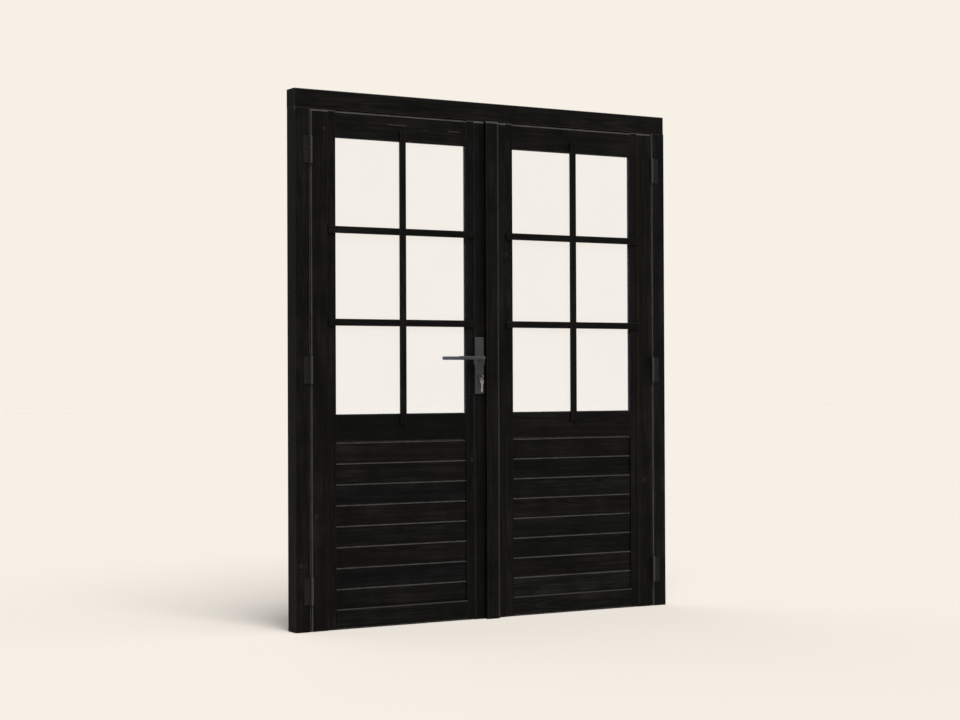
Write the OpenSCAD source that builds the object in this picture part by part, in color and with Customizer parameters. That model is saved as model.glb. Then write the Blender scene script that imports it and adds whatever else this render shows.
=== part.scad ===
// Glazed double doors in a three-sided timber frame.
// Origin: floor level, midway between the jambs, in the middle of the leaves' thickness.
// +X runs along the frame to the passive leaf's hinges, +Y goes through the doorway, +Z is up.
// Both leaves open towards -Y. The lock is on the active leaf, at -X.

/* [Frame] */
// Overall width over both jambs
frame_w = 1680; // [1500:10:1900]
// Overall height, from the floor to the top of the head
frame_h = 2010; // [1900:10:2300]
// Depth of the frame, front to back
frame_d = 70; // [66:1:100]
// Width of a jamb's face
jamb_w = 62; // [56:1:80]
// Height of the head's face
head_h = 70; // [50:1:90]
// How far the stops lap behind the leaves
stop_lap = 13; // [10:1:18]
// Chamfer along the inner arrises of the jambs
jamb_chamfer = 4; // [1:0.5:5]
// How far the head's face lies behind the jambs' face
head_drop = 5; // [0:0.5:8]
// Chamfer along the other long arrises
arris = 2; // [1:0.5:3]

/* [Leaves] */
// Thickness of a leaf
leaf_t = 40; // [38:1:48]
// Width of a stile
stile_w = 104; // [98:1:130]
// Width of the sunk band along the inner edge of a stile
band_w = 33; // [20:1:40]
// How far the band and the rails lie behind the stile's face
band_drop = 4; // [2:0.5:5]
// Height of the top rail
top_rail_h = 99; // [80:1:130]
// Height of the middle rail
mid_rail_h = 100; // [80:1:130]
// Height of the bottom rail
bottom_rail_h = 72; // [60:1:120]
// Height of the middle rail's top edge above the floor
glass_sill = 800; // [700:10:860]
// Chamfer along the top edge of each leaf
top_chamfer = 8; // [3:0.5:10]
// Chamfer along the front of each leaf's hinge edge
hinge_chamfer = 4; // [2:0.5:5]
// Length of a rail's tenon
tenon_l = 45; // [20:1:45]
// Thickness of a rail's tenon
tenon_t = 13; // [10:1:14]
// Gap between a leaf and its jamb
gap_side = 3; // [3:0.5:6]
// Gap between the leaves and the head
gap_head = 3; // [2:0.5:6]
// Gap between the leaves and the floor
gap_floor = 4; // [2:0.5:10]
// Gap between the two leaves
gap_meet = 4; // [3:0.5:6]

/* [Panels and glass] */
// Number of boards in each lower panel
board_count = 8; // [5:1:10]
// Thickness of a board
board_t = 18; // [14:1:20]
// Height of the bevel on a board's top edge
board_bevel = 7; // [3:0.5:8]
// Width of the rebate that holds the glass and of the groove that holds the boards
rebate_w = 12; // [8:1:14]
// Thickness of the glass
glass_t = 4; // [3:0.5:6]
// Width of a glazing bar
bar_w = 26; // [20:1:34]
// Thickness of a glazing bar's face strip
bar_t = 9; // [6:0.5:12]
// How far a bar's face strip laps over the stile's band
bar_lap = 33; // [20:1:40]
// Rows of panes
pane_rows = 3; // [2:1:3]
// Depth of a glazing bead
bead_d = 14; // [8:1:18]
// Width of the cover strip over the meeting gap
cover_w = 58; // [40:1:66]
// Thickness of the cover strip
cover_t = 20; // [12:1:24]
// Width of the bevel along the cover strip's free edge
cover_bevel_w = 8; // [3:0.5:12]
// Depth of that bevel
cover_bevel_d = 3; // [1:0.5:6]
// Gap between the cover strip and the passive leaf
cover_gap = 0.6; // [0.4:0.1:1.5]

/* [Hinges] */
// Height of a hinge
hinge_h = 100; // [80:5:120]
// Height of the bottom hinge above the floor
hinge_low = 150; // [120:5:250]
// Height of the middle hinge above the floor
hinge_mid = 967; // [900:1:1050]
// Distance from a leaf's top edge down to the middle of its top hinge
hinge_top = 152; // [120:1:250]
// Radius of a hinge's barrel
knuckle_r = 5; // [4.5:0.5:6]
// Radius of a hinge pin
pin_r = 3; // [2:0.5:3.5]
// Running clearance round a pin
pin_play = 0.06; // [0.03:0.01:0.1]
// Thickness of the flap on the jamb's face
jamb_flap_t = 2.5; // [2:0.5:3]
// Width of the flap on the jamb's face
jamb_flap_w = 25; // [18:1:32]
// Thickness of the flap on the leaf's edge
leaf_flap_t = 2; // [1.5:0.1:2.5]
// Depth of the flap on the leaf's edge
leaf_flap_w = 28; // [20:1:34]

/* [Lock] */
// Height of the lever's axis above the floor
lever_z = 1014; // [980:1:1080]
// Distance from the lever's axis down to the cylinder's axis
lock_centres = 72; // [72:1:92]
// Distance from the leaf's edge to the lever's axis
backset = 52.5; // [50:0.5:60]
// Width of a backplate
plate_w = 40; // [34:1:46]
// Height of a backplate
plate_h = 220; // [200:5:250]
// Thickness of a backplate
plate_t = 8; // [5:0.5:10]
// Radius of the swelling in a backplate
plate_swell_r = 25; // [22:1:32]
// Length of the lever from its axis to its tip
lever_l = 112; // [90:1:120]
// Radius of the lever's grip
lever_r = 7; // [6:0.5:8]
// Radius of the lever's neck
neck_r = 8.5; // [7:0.5:9]
// Distance from the middle of the leaf to the middle of the grip
lever_reach = 64; // [58:1:72]
// Running clearance round a turning part
play = 0.06; // [0.03:0.01:0.1]
// Clearance round a sliding bolt
slide_gap = 0.15; // [0.1:0.05:0.3]
// How far the latch stands out of the leaf
latch_throw = 12; // [8:1:13]
// Travel of the dead bolt
bolt_throw = 20; // [15:1:20]
// Travel of a flush bolt
flush_travel = 18; // [12:1:20]

/* [Hidden] */
$fn = 48;
eps = 1;
seal_gap = 3;
seal_free = 0.3;
seal_stem_w = 3;
seal_stem_d = 4;
seal_bulb_out = 5.5;
seal_bulb_in = 2.5;
leaf_w = (frame_w - 2 * jamb_w - 2 * gap_side - gap_meet) / 2;
front = -leaf_t / 2;
back = leaf_t / 2;
frame_back = front + frame_d;
head_front = front + head_drop;
stop_y = back + seal_gap;
half_w = frame_w / 2;
jamb_x = half_w - jamb_w;
stop_x = jamb_x - stop_lap;
head_z = frame_h - head_h;
leaf_z0 = gap_floor;
leaf_z1 = head_z - gap_head;
leaf_h = leaf_z1 - leaf_z0;
rail_l = leaf_w - 2 * stile_w;
rail_y = front + band_drop;
rebate_in = 8;
rebate_y = rail_y + rebate_in;
sight_z0 = glass_sill;
sight_z1 = leaf_z1 - top_rail_h;
board_z0 = leaf_z0 + bottom_rail_h;
board_z1 = glass_sill - mid_rail_h;
board_pitch = (board_z1 - board_z0) / board_count;
board_joint = 0.3;
board_u0 = stile_w - rebate_w + 1;
board_u1 = leaf_w - board_u0;
board_tongue_t = 5;
board_tongue_h = 7;
groove_d = 10;
tenon_margin = 15;
glass_margin = 2;
bead_lap = 2;
bead_joint = 0.3;
glass_y1 = rebate_y + glass_t;
bar_u = leaf_w / 2;
bar_web_w = 18;
bar_extra = 5;
bar_half_y = rail_y - bar_t / 3;
cover_z0 = 1;
hinge_zs = [hinge_low, hinge_mid, leaf_z1 - hinge_top];
pin_u = -gap_side / 2;
flap_seat = 0.2;
pin_y = front - knuckle_r - 0.3;
pin_cap_h = 2.5;
pin_cap_r = knuckle_r - 0.4;
knuckle_gap = 0.3;
knuckle_count = 5;
knuckle_h = (hinge_h - (knuckle_count - 1) * knuckle_gap) / knuckle_count;
flap_clear = 0.5;
hinge_screw_r = 2;
hinge_screw_head_r = 4;
hinge_screw_l = 30;
flap_screw_near = 0.4;
flap_screw_far = 0.75;
screw_play = 0.05;
hinge_screw_z = 0.35 * hinge_h;
corner_screw_r = 3;
corner_screw_head_r = 5.5;
corner_screw_head_h = 4;
corner_screw_l = 120;
corner_screw_at = [0.3, 0.7];
lock_x = -gap_meet / 2 - backset;
cyl_z = lever_z - lock_centres;
lock_edge = -gap_meet / 2;
case_t = 15;
case_wall = 1.5;
case_d = 82;
case_z0 = cyl_z - 38;
case_z1 = lever_z + 36;
case_gap = 0.5;
forend_t = 3;
forend_w = 20;
forend_z0 = case_z0 - 22;
forend_z1 = case_z1 + 22;
forend_screw_in = 9;
latch_z = lever_z + 12;
latch_h = 20;
latch_w = 12;
latch_nose_t = 2;
bolt_z = cyl_z + 10;
bolt_h = 32;
bolt_w = 10;
follower_r = 10;
follower_gap = 2;
follower_end = case_t / 2 + 0.4;
spindle_w = 8;
spindle_end = 50;
plate_z0 = lever_z - 139.5;
plate_corner_r = 5;
swell_drop = 15;
plate_clear = 0.5;
swell_r = min(plate_swell_r, -lock_x - cover_w / 2 - plate_clear);
neck_in = 3;
collar_r = 13;
collar_t = 4;
plate_screw_r = 2.5;
plate_screw_head_r = 4.5;
plate_screw_head_h = 3;
plate_screw_l = leaf_t + plate_t + 4;
plate_screw_zs = [plate_z0 + 12, plate_z0 + plate_h - 22];
cyl_r = 8.5;
cyl_body_w = 10;
cyl_drop = 19.5;
cyl_gap = 0.3;
cyl_half_l = back + plate_t + 3;
cyl_screw_z = cyl_z - 20.5;
plug_r = 6.5;
cam_half = 4.8;
cam_slot = 5;
cam_r = 8.4;
cam_tooth_r = 13.5;
cam_tooth_w = 5;
cam_swing = 15.8;
cam_space = cyl_r + 2;
key_t = 2;
key_half_h = 4;
key_in = 20;
keyway_back = 8;
key_bow_r = 10;
key_bow_y = -cyl_half_l - 13;
key_hole_r = 3.5;
key_hole_drop = 4.5;
ring_wire_r = 0.7;
ring_r = 4.5;
ring_seat = 2.1;
ring_z = cyl_z - key_hole_drop - ring_seat - ring_r;
spare_hole_z = ring_z - ring_r - ring_seat;
spare_tip_z = cyl_z - 60;
spare_bow_r = 8;
spare_bow_z = spare_hole_z - 1.5;
spare_blade_w = 7;
strike_t = 2;
strike_w = 24;
strike_z0 = forend_z0 + 14;
strike_z1 = forend_z1 - 14;
strike_screw_in = 7;
strike_clear_y = 2;
strike_clear_z = 1.5;
flush_x = gap_meet / 2 + 11;
flush_w = 8;
flush_d = 10;
flush_body_h = 150;
flush_body_d = 18;
flush_tip_gap = 1;
flush_bore_l = 140;
flush_rod_l = 136;
flush_knob_from = 120;
flush_knob_to = 100;
flush_knob_t = 6;
flush_knob_play = 0.2;
flush_knob_free = 2;
flush_knob_in = 0.5;
keep_t = 2;
keep_half = 16;
keep_clear = 1;
wood = "#1b1a17";
steel = "#3b3b3c";
silver = "#b9b7b2";

// ---- helpers ----

// Box from its two opposite corners
module block(a, b) translate(a) cube(b - a);

// Extrusion of a (y, z) section along X
module along_x(x0, x1) translate([x0, 0, 0]) rotate([90, 0, 90]) linear_extrude(x1 - x0) children();

// Cylinder along Y
module rod_y(x, z, r, y0, y1) translate([x, y0, z]) rotate([-90, 0, 0]) cylinder(r = r, h = y1 - y0);

// Cylinder along X
module rod_x(y, z, r, x0, x1) translate([x0, y, z]) rotate([0, 90, 0]) cylinder(r = r, h = x1 - x0);

// Countersunk screw, head upwards at the origin. grow widens it into its own hole.
module screw(r, head_r, head_h, l, grow = 0) {
    translate([0, 0, -head_h]) cylinder(r1 = r + grow, r2 = head_r + grow, h = head_h);
    translate([0, 0, -l - grow]) cylinder(r = r + grow, h = l + grow);
}

// A leaf's own frame: u = 0 at the hinge edge, u = leaf_w at the meeting edge
module leaf_at(side) {
    if (side < 0) translate([-leaf_w - gap_meet / 2, 0, 0]) children();
    else mirror([1, 0, 0]) translate([-leaf_w - gap_meet / 2, 0, 0]) children();
}

// The same leaf frame, counted from the meeting edge
module far_edge() translate([leaf_w, 0, 0]) mirror([1, 0, 0]) children();

module both_sides(side) if (side < 0) children(); else mirror([1, 0, 0]) children();

// Cutter for a chamfer of height c along a leaf's top front arris, on a face at y
module top_edge_cut(y, c) {
    along_x(-eps, leaf_w + eps)
        polygon([[y - eps, leaf_z1 - c - eps], [y + c + eps, leaf_z1 + eps], [y - eps, leaf_z1 + eps]]);
}

// ---- frame ----

module jamb(side) color(wood) both_sides(side) difference() {
    linear_extrude(head_z) polygon([
        [-half_w, front + arris], [-half_w + arris, front],
        [-jamb_x - jamb_chamfer, front], [-jamb_x, front + jamb_chamfer],
        [-jamb_x, stop_y], [-stop_x, stop_y],
        [-stop_x, frame_back - arris], [-stop_x - arris, frame_back],
        [-half_w + arris, frame_back], [-half_w, frame_back - arris]]);
    block([-jamb_x + stop_lap / 2 - seal_stem_w, stop_y, -eps],
          [-jamb_x + stop_lap / 2, stop_y + seal_stem_d, head_z + eps]);
    jamb_screws(screw_play);
    corner_screws(screw_play);
}

module frame_head() color(wood) difference() {
    union() {
        along_x(-half_w, half_w) polygon([
            [head_front, head_z], [frame_back, head_z], [frame_back, frame_h - arris],
            [frame_back - arris, frame_h], [head_front + arris, frame_h], [head_front, frame_h - arris]]);
        block([-stop_x, stop_y, head_z - stop_lap], [stop_x, frame_back, head_z]);
    }
    head_seal_stem();
    corner_screws(screw_play);
    mirror([1, 0, 0]) corner_screws(screw_play);
    keep_blank(head_z - eps);
    keep_window(head_z, head_z + flush_travel);
}

module frame_jamb_left() jamb(-1);
module frame_jamb_right() jamb(1);

// Screws down through the head into the left jamb
module corner_screws(grow = 0) {
    for (x = corner_screw_at)
        translate([-half_w + x * jamb_w, (front + frame_back) / 2, frame_h])
            screw(corner_screw_r, corner_screw_head_r, corner_screw_head_h, corner_screw_l, grow);
}

module frame_screws() color(silver) {
    corner_screws();
    mirror([1, 0, 0]) corner_screws();
}

module seal_side(side) color("#202020") both_sides(side) {
    x = -jamb_x + stop_lap / 2;
    block([x - seal_stem_w, stop_y, 0], [x, stop_y + seal_stem_d, head_z - stop_lap]);
    block([x - seal_bulb_out, back + seal_free, 0], [x + seal_bulb_in, stop_y, head_z - stop_lap]);
}
module seal_left() seal_side(-1);
module seal_right() seal_side(1);

module head_seal_stem() {
    z = head_z - stop_lap / 2;
    block([-stop_x, stop_y, z - seal_stem_w], [stop_x, stop_y + seal_stem_d, z]);
}

module seal_head() color("#202020") {
    z = head_z - stop_lap / 2;
    head_seal_stem();
    block([-stop_x, back + seal_free, z - seal_bulb_in], [stop_x, stop_y, z + seal_bulb_out]);
}

module keep_blank(z0) {
    block([flush_x - keep_half, -flush_d, z0], [flush_x + keep_half, flush_d, head_z + keep_t]);
}

module keep_window(z0, z1) {
    block([flush_x - flush_w / 2 - keep_clear, -flush_d / 2 - keep_clear, z0 - eps],
          [flush_x + flush_w / 2 + keep_clear, flush_d / 2 + keep_clear, z1]);
}

module bolt_keep() color(steel) difference() {
    keep_blank(head_z);
    keep_window(head_z, head_z + keep_t + eps);
}

// ---- hinges, in the leaf's own frame ----

module knuckles(z, which) {
    for (i = which)
        translate([pin_u, pin_y, z - hinge_h / 2 + i * (knuckle_h + knuckle_gap)])
            cylinder(r = knuckle_r, h = knuckle_h);
}

module knuckle_webs(z, which, u0, u1, y0, y1) {
    for (i = which) {
        zi = z - hinge_h / 2 + i * (knuckle_h + knuckle_gap);
        block([u0, y0, zi], [u1, y1, zi + knuckle_h]);
    }
}

module pin_bore(z) {
    translate([pin_u, pin_y, z - hinge_h / 2 - eps]) cylinder(r = pin_r + pin_play, h = hinge_h + 2 * eps);
}

module jamb_flap(z) difference() {
    inner = pin_u - knuckle_r - flap_clear;
    union() {
        block([-gap_side - jamb_flap_w - knuckle_r, front - jamb_flap_t, z - hinge_h / 2],
              [inner, front, z + hinge_h / 2]);
        knuckle_webs(z, [0, 2, 4], inner - eps, -gap_side - flap_seat, front - jamb_flap_t, front);
        knuckles(z, [0, 2, 4]);
    }
    pin_bore(z);
    jamb_flap_screws(z, screw_play);
}

module leaf_flap(z) difference() {
    union() {
        block([-leaf_flap_t, front + flap_seat, z - hinge_h / 2], [0, front + leaf_flap_w, z + hinge_h / 2]);
        knuckle_webs(z, [1, 3], -leaf_flap_t, 0, pin_y, front + flap_seat + eps);
        knuckles(z, [1, 3]);
    }
    pin_bore(z);
    leaf_flap_screws(z, screw_play);
}

// Screws in the flap on the jamb's face
module jamb_flap_screws(z, grow = 0) {
    for (i = [-1, 0, 1])
        translate([-gap_side - knuckle_r - jamb_flap_w * (i == 0 ? flap_screw_far : flap_screw_near),
                   front - jamb_flap_t, z + i * hinge_screw_z])
            rotate([90, 0, 0]) screw(hinge_screw_r, hinge_screw_head_r, jamb_flap_t, hinge_screw_l, grow);
}

// Screws in the flap on the leaf's edge
module leaf_flap_screws(z, grow = 0) {
    for (i = [-1, 0, 1])
        translate([-leaf_flap_t, front + leaf_flap_w * (i == 0 ? flap_screw_far : flap_screw_near),
                   z + i * hinge_screw_z])
            rotate([0, -90, 0]) screw(hinge_screw_r, hinge_screw_head_r, leaf_flap_t, hinge_screw_l, grow);
}

module jamb_screws(grow = 0) leaf_at(-1) for (z = hinge_zs) jamb_flap_screws(z, grow);

module hinge_pin(z) translate([pin_u, pin_y, z - hinge_h / 2]) {
    cylinder(r = pin_r, h = hinge_h);
    translate([0, 0, -pin_cap_h]) cylinder(r1 = pin_r, r2 = pin_cap_r, h = pin_cap_h);
    translate([0, 0, hinge_h]) cylinder(r1 = pin_cap_r, r2 = pin_r, h = pin_cap_h);
}

module jamb_flaps_left() color(steel) leaf_at(-1) for (z = hinge_zs) jamb_flap(z);
module jamb_flaps_right() color(steel) leaf_at(1) for (z = hinge_zs) jamb_flap(z);
module hinge_pins() color(steel) for (side = [-1, 1]) leaf_at(side) for (z = hinge_zs) hinge_pin(z);
module hinge_screws() color(steel) {
    jamb_screws();
    mirror([1, 0, 0]) jamb_screws();
}

// ---- leaf woodwork, in the leaf's own frame ----

// Tenon of a rail that spans z0 to z1, or its mortise
module tenon(u0, z0, z1) {
    block([u0, -tenon_t / 2, z0 + tenon_margin], [u0 + tenon_l, tenon_t / 2, z1 - tenon_margin]);
}

// Stile with a chamfer of width edge along its outer front arris
module stile(edge = arris) difference() {
    translate([0, 0, leaf_z0]) linear_extrude(leaf_h) polygon([
        [0, front + edge], [edge, front],
        [stile_w - band_w - band_drop, front], [stile_w - band_w, rail_y],
        [stile_w - arris, rail_y], [stile_w, rail_y + arris],
        [stile_w, back - arris], [stile_w - arris, back], [arris, back], [0, back - arris]]);
    block([stile_w - rebate_w, rebate_y, sight_z0 - rebate_w],
          [stile_w + eps, back + eps, sight_z1 + rebate_w]);
    block([stile_w - rebate_w, rebate_y, board_z0 - groove_d],
          [stile_w + eps, rebate_y + board_t, board_z1 + groove_d]);
    tenon(stile_w - tenon_l, leaf_z0, board_z0);
    tenon(stile_w - tenon_l, board_z1, sight_z0);
    tenon(stile_w - tenon_l, sight_z1, leaf_z1);
    top_edge_cut(front, top_chamfer);
}

module rail(z0, z1) {
    along_x(stile_w, stile_w + rail_l) polygon([
        [rail_y, z0 + arris], [rail_y + arris, z0], [back - arris, z0], [back, z0 + arris],
        [back, z1 - arris], [back - arris, z1], [rail_y + arris, z1], [rail_y, z1 - arris]]);
    tenon(stile_w - tenon_l, z0, z1);
    tenon(stile_w + rail_l, z0, z1);
}

module top_rail() difference() {
    rail(sight_z1, leaf_z1);
    block([stile_w - eps, rebate_y, sight_z1 - eps],
          [stile_w + rail_l + eps, back + eps, sight_z1 + rebate_w]);
    top_edge_cut(rail_y, top_chamfer);
}

module mid_rail() difference() {
    rail(board_z1, sight_z0);
    block([stile_w - eps, rebate_y, sight_z0 - rebate_w],
          [stile_w + rail_l + eps, back + eps, sight_z0 + eps]);
    block([stile_w - eps, rebate_y, board_z1 - eps],
          [stile_w + rail_l + eps, rebate_y + board_t, board_z1 + groove_d]);
}

module bottom_rail() difference() {
    rail(leaf_z0, board_z0);
    block([stile_w - eps, rebate_y, board_z0 - groove_d],
          [stile_w + rail_l + eps, rebate_y + board_t, board_z0 + eps]);
}

// One board: bevelled top edge, tongue above, groove below. The end boards run into the rails' grooves.
module board(i) {
    z0 = board_z0 + i * board_pitch;
    z1 = z0 + board_pitch - board_joint;
    first = i == 0;
    last = i == board_count - 1;
    tongue_y = rebate_y + board_t / 2 - board_tongue_t / 2;
    difference() {
        along_x(board_u0, board_u1) polygon([
            [rebate_y, first ? z0 - groove_d : z0], [rebate_y + board_t, first ? z0 - groove_d : z0],
            [rebate_y + board_t, z1], [rebate_y + board_bevel, z1], [rebate_y, z1 - board_bevel]]);
        if (!first)
            block([0, tongue_y - slide_gap, z0 - eps],
                  [leaf_w, tongue_y + board_tongue_t + slide_gap, z0 + board_tongue_h + 1]);
    }
    block([board_u0, last ? rebate_y + board_bevel : tongue_y, z1 - eps],
          [board_u1, last ? rebate_y + board_t : tongue_y + board_tongue_t,
           z1 + (last ? groove_d : board_tongue_h)]);
}

module boards() for (i = [0 : board_count - 1]) board(i);

module glass() {
    m = rebate_w - glass_margin;
    block([stile_w - m, rebate_y, sight_z0 - m], [stile_w + rail_l + m, glass_y1, sight_z1 + m]);
}

// Section of a bead: depth runs along the first axis, width along the second
module bead_profile() {
    w = rebate_w + bead_lap;
    polygon([[0, 0], [bead_d, 0], [bead_d, rebate_w / 2], [bead_d / 2, w], [0, w]]);
}

module beads() {
    u0 = stile_w - rebate_w;
    for (top = [0, 1])
        translate([u0, glass_y1, top ? sight_z1 + rebate_w : sight_z0 - rebate_w])
            mirror([0, 0, top]) rotate([90, 0, 90]) linear_extrude(rail_l + 2 * rebate_w) bead_profile();
    for (far = [0, 1])
        translate([far ? leaf_w - u0 : u0, glass_y1, sight_z0 + bead_lap + bead_joint])
            mirror([far, 0, 0]) mirror([1, 0, 0]) rotate([0, 0, 90])
                linear_extrude(sight_z1 - sight_z0 - 2 * (bead_lap + bead_joint)) bead_profile();
}

// ---- glazing bars, in the leaf's own frame ----

function bar_z(i) = sight_z0 + i * (sight_z1 - sight_z0) / pane_rows;

// Slab that one of two crossing bars leaves to the other, before or behind the halving plane
module halving(z, ahead) {
    block([bar_u - bar_w / 2, ahead ? rail_y - bar_t - eps : bar_half_y, z - bar_w / 2],
          [bar_u + bar_w / 2, ahead ? bar_half_y : rebate_y + eps, z + bar_w / 2]);
}

module bar_vertical() difference() {
    union() {
        translate([bar_u, 0, sight_z0 - bar_lap - bar_extra])
            linear_extrude(sight_z1 - sight_z0 + 2 * (bar_lap + bar_extra)) bar_profile();
        block([bar_u - bar_web_w / 2, rail_y - eps, sight_z0],
              [bar_u + bar_web_w / 2, rebate_y, sight_z1]);
    }
    for (i = [1 : pane_rows - 1]) halving(bar_z(i), false);
}

module bar_profile() polygon([
    [-bar_w / 2, rail_y], [-bar_w / 2, rail_y - bar_t + arris], [-bar_w / 2 + arris, rail_y - bar_t],
    [bar_w / 2 - arris, rail_y - bar_t], [bar_w / 2, rail_y - bar_t + arris], [bar_w / 2, rail_y]]);

module bar_level(i) difference() {
    z = bar_z(i);
    union() {
        translate([stile_w - bar_lap, 0, z]) rotate([0, 90, 0]) linear_extrude(rail_l + 2 * bar_lap)
            bar_profile();
        block([stile_w, rail_y - eps, z - bar_web_w / 2],
              [stile_w + rail_l, rebate_y, z + bar_web_w / 2]);
    }
    halving(z, true);
}

// ---- active leaf ----

module active_hinge_stile() color(wood) leaf_at(-1) hinge_stile();
module active_top_rail() color(wood) leaf_at(-1) top_rail();
module active_mid_rail() color(wood) leaf_at(-1) mid_rail();
module active_bottom_rail() color(wood) leaf_at(-1) bottom_rail();
module active_boards() color(wood) leaf_at(-1) boards();
module active_glass() color("#e8efee", 0.4) leaf_at(-1) glass();
module active_bar_vertical() color(wood) leaf_at(-1) bar_vertical();
module active_bar_upper() color(wood) clear_of_plate() leaf_at(-1) bar_level(2);
module active_bar_lower() color(wood) clear_of_plate() leaf_at(-1) bar_level(1);
module active_beads() color(wood) leaf_at(-1) beads();
module active_flaps() color(steel) leaf_at(-1) for (z = hinge_zs) leaf_flap(z);

module hinge_stile() difference() {
    stile(hinge_chamfer);
    for (z = hinge_zs) leaf_flap_screws(z, screw_play);
}

module active_screws() color(steel) {
    leaf_at(-1) for (z = hinge_zs) leaf_flap_screws(z);
    forend_screws();
}

module active_lock_stile() color(wood) difference() {
    leaf_at(-1) far_edge() stile();
    block([lock_edge - forend_t - case_d - case_gap, -case_t / 2 - case_gap, case_z0 - case_gap],
          [lock_edge + eps, case_t / 2 + case_gap, case_z1 + case_gap]);
    block([lock_edge - forend_t, -forend_w / 2, forend_z0], [lock_edge + eps, forend_w / 2, forend_z1]);
    rod_y(lock_x, lever_z, follower_r + follower_gap, front - eps, back + eps);
    cylinder_profile(front - eps, back + eps, cyl_gap);
    plate_bolts(screw_play);
    forend_screws(screw_play);
}

// Cover strip on the active leaf's edge, lapping the passive leaf
module cover_strip() color(wood) clear_of_plate() difference() {
    translate([0, 0, cover_z0]) linear_extrude(leaf_z1 - cover_z0) polygon([
        [-cover_w / 2, front], [-cover_w / 2, front - cover_t + arris],
        [-cover_w / 2 + arris, front - cover_t], [cover_w / 2 - cover_bevel_w, front - cover_t],
        [cover_w / 2, front - cover_t + cover_bevel_d], [cover_w / 2, front - cover_gap],
        [lock_edge, front - cover_gap], [lock_edge, front]]);
    along_x(-cover_w, cover_w) polygon([
        [front - cover_t - eps, leaf_z1 - top_chamfer - eps],
        [front - cover_t + top_chamfer + eps, leaf_z1 + eps], [front - cover_t - eps, leaf_z1 + eps]]);
}

// ---- passive leaf ----

module passive_hinge_stile() color(wood) leaf_at(1) hinge_stile();
module passive_top_rail() color(wood) leaf_at(1) top_rail();
module passive_mid_rail() color(wood) leaf_at(1) mid_rail();
module passive_bottom_rail() color(wood) leaf_at(1) bottom_rail();
module passive_boards() color(wood) leaf_at(1) boards();
module passive_glass() color("#e8efee", 0.4) leaf_at(1) glass();
module passive_bar_vertical() color(wood) leaf_at(1) bar_vertical();
module passive_bar_upper() color(wood) leaf_at(1) bar_level(2);
module passive_bar_lower() color(wood) leaf_at(1) bar_level(1);
module passive_beads() color(wood) leaf_at(1) beads();
module passive_flaps() color(steel) leaf_at(1) for (z = hinge_zs) leaf_flap(z);

module passive_screws() color(steel) {
    leaf_at(1) for (z = hinge_zs) leaf_flap_screws(z);
    strike_screws();
}

module passive_meeting_stile() color(wood) difference() {
    leaf_at(1) far_edge() stile();
    strike_blank(eps);
    strike_windows(bolt_throw + strike_screw_in);
    strike_screws(screw_play);
    for (low = [false, true]) flush_at(low) flush_body_blank();
}

module strike_blank(out = 0) {
    block([-lock_edge - out, -strike_w / 2, strike_z0], [-lock_edge + strike_t, strike_w / 2, strike_z1]);
}

// Windows for the latch and the dead bolt, d deep from the passive leaf's edge
module strike_windows(d) {
    y = strike_clear_y;
    z = strike_clear_z;
    block([-lock_edge - eps, -latch_w / 2 - y, latch_z - latch_h / 2 - z],
          [-lock_edge + d, latch_w / 2 + y, latch_z + latch_h / 2 + z]);
    block([-lock_edge - eps, -bolt_w / 2 - y, bolt_z - bolt_h / 2 - z],
          [-lock_edge + d, bolt_w / 2 + y, bolt_z + bolt_h / 2 + z]);
}

module strike_screws(grow = 0) {
    for (z = [strike_z0 + strike_screw_in, strike_z1 - strike_screw_in])
        translate([-lock_edge, 0, z]) rotate([0, -90, 0])
            screw(hinge_screw_r, hinge_screw_head_r, strike_t, hinge_screw_l, grow);
}

module strike_plate() color(steel) difference() {
    strike_blank();
    strike_windows(bolt_throw);
    strike_screws(screw_play);
}

// Flush bolts: drawn at the top of the passive leaf, mirrored for the bottom one
module flush_at(low) {
    if (low) translate([0, 0, leaf_z0 + leaf_z1]) mirror([0, 0, 1]) children();
    else children();
}

module flush_body_blank() {
    block([-lock_edge - eps, -flush_body_d / 2, leaf_z1 - flush_body_h],
          [-lock_edge + flush_body_d, flush_body_d / 2, leaf_z1 + eps]);
}

module flush_rod(grow, z0, z1) {
    block([flush_x - flush_w / 2 - grow, -flush_d / 2 - grow, z0],
          [flush_x + flush_w / 2 + grow, flush_d / 2 + grow, z1]);
}

module flush_body() difference() {
    block([-lock_edge, -flush_body_d / 2, leaf_z1 - flush_body_h],
          [-lock_edge + flush_body_d, flush_body_d / 2, leaf_z1]);
    flush_rod(slide_gap, leaf_z1 - flush_bore_l, leaf_z1 + eps);
    slot_half = flush_knob_t / 2 + flush_knob_play;
    block([-lock_edge - eps, -slot_half, leaf_z1 - flush_knob_from - flush_knob_free],
          [flush_x, slot_half, leaf_z1 - flush_knob_to + flush_travel + flush_knob_free]);
}

module flush_bolt() {
    flush_rod(0, leaf_z1 - flush_rod_l, leaf_z1 - flush_tip_gap);
    block([-lock_edge + flush_knob_in, -flush_knob_t / 2, leaf_z1 - flush_knob_from],
          [flush_x, flush_knob_t / 2, leaf_z1 - flush_knob_to]);
}

module flush_bolt_bodies() color(steel) for (low = [false, true]) flush_at(low) flush_body();
module top_bolt() color(silver) flush_at(false) flush_bolt();
module bottom_bolt() color(silver) flush_at(true) flush_bolt();

// ---- lock ----

// Outline of the lock cylinder along Y, grown by a clearance
module cylinder_profile(y0, y1, grow = 0) {
    rod_y(lock_x, cyl_z, cyl_r + grow, y0, y1);
    rod_y(lock_x, cyl_z - cyl_drop, cyl_body_w / 2 + grow, y0, y1);
    block([lock_x - cyl_body_w / 2 - grow, y0, cyl_z - cyl_drop],
          [lock_x + cyl_body_w / 2 + grow, y1, cyl_z]);
}

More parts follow.
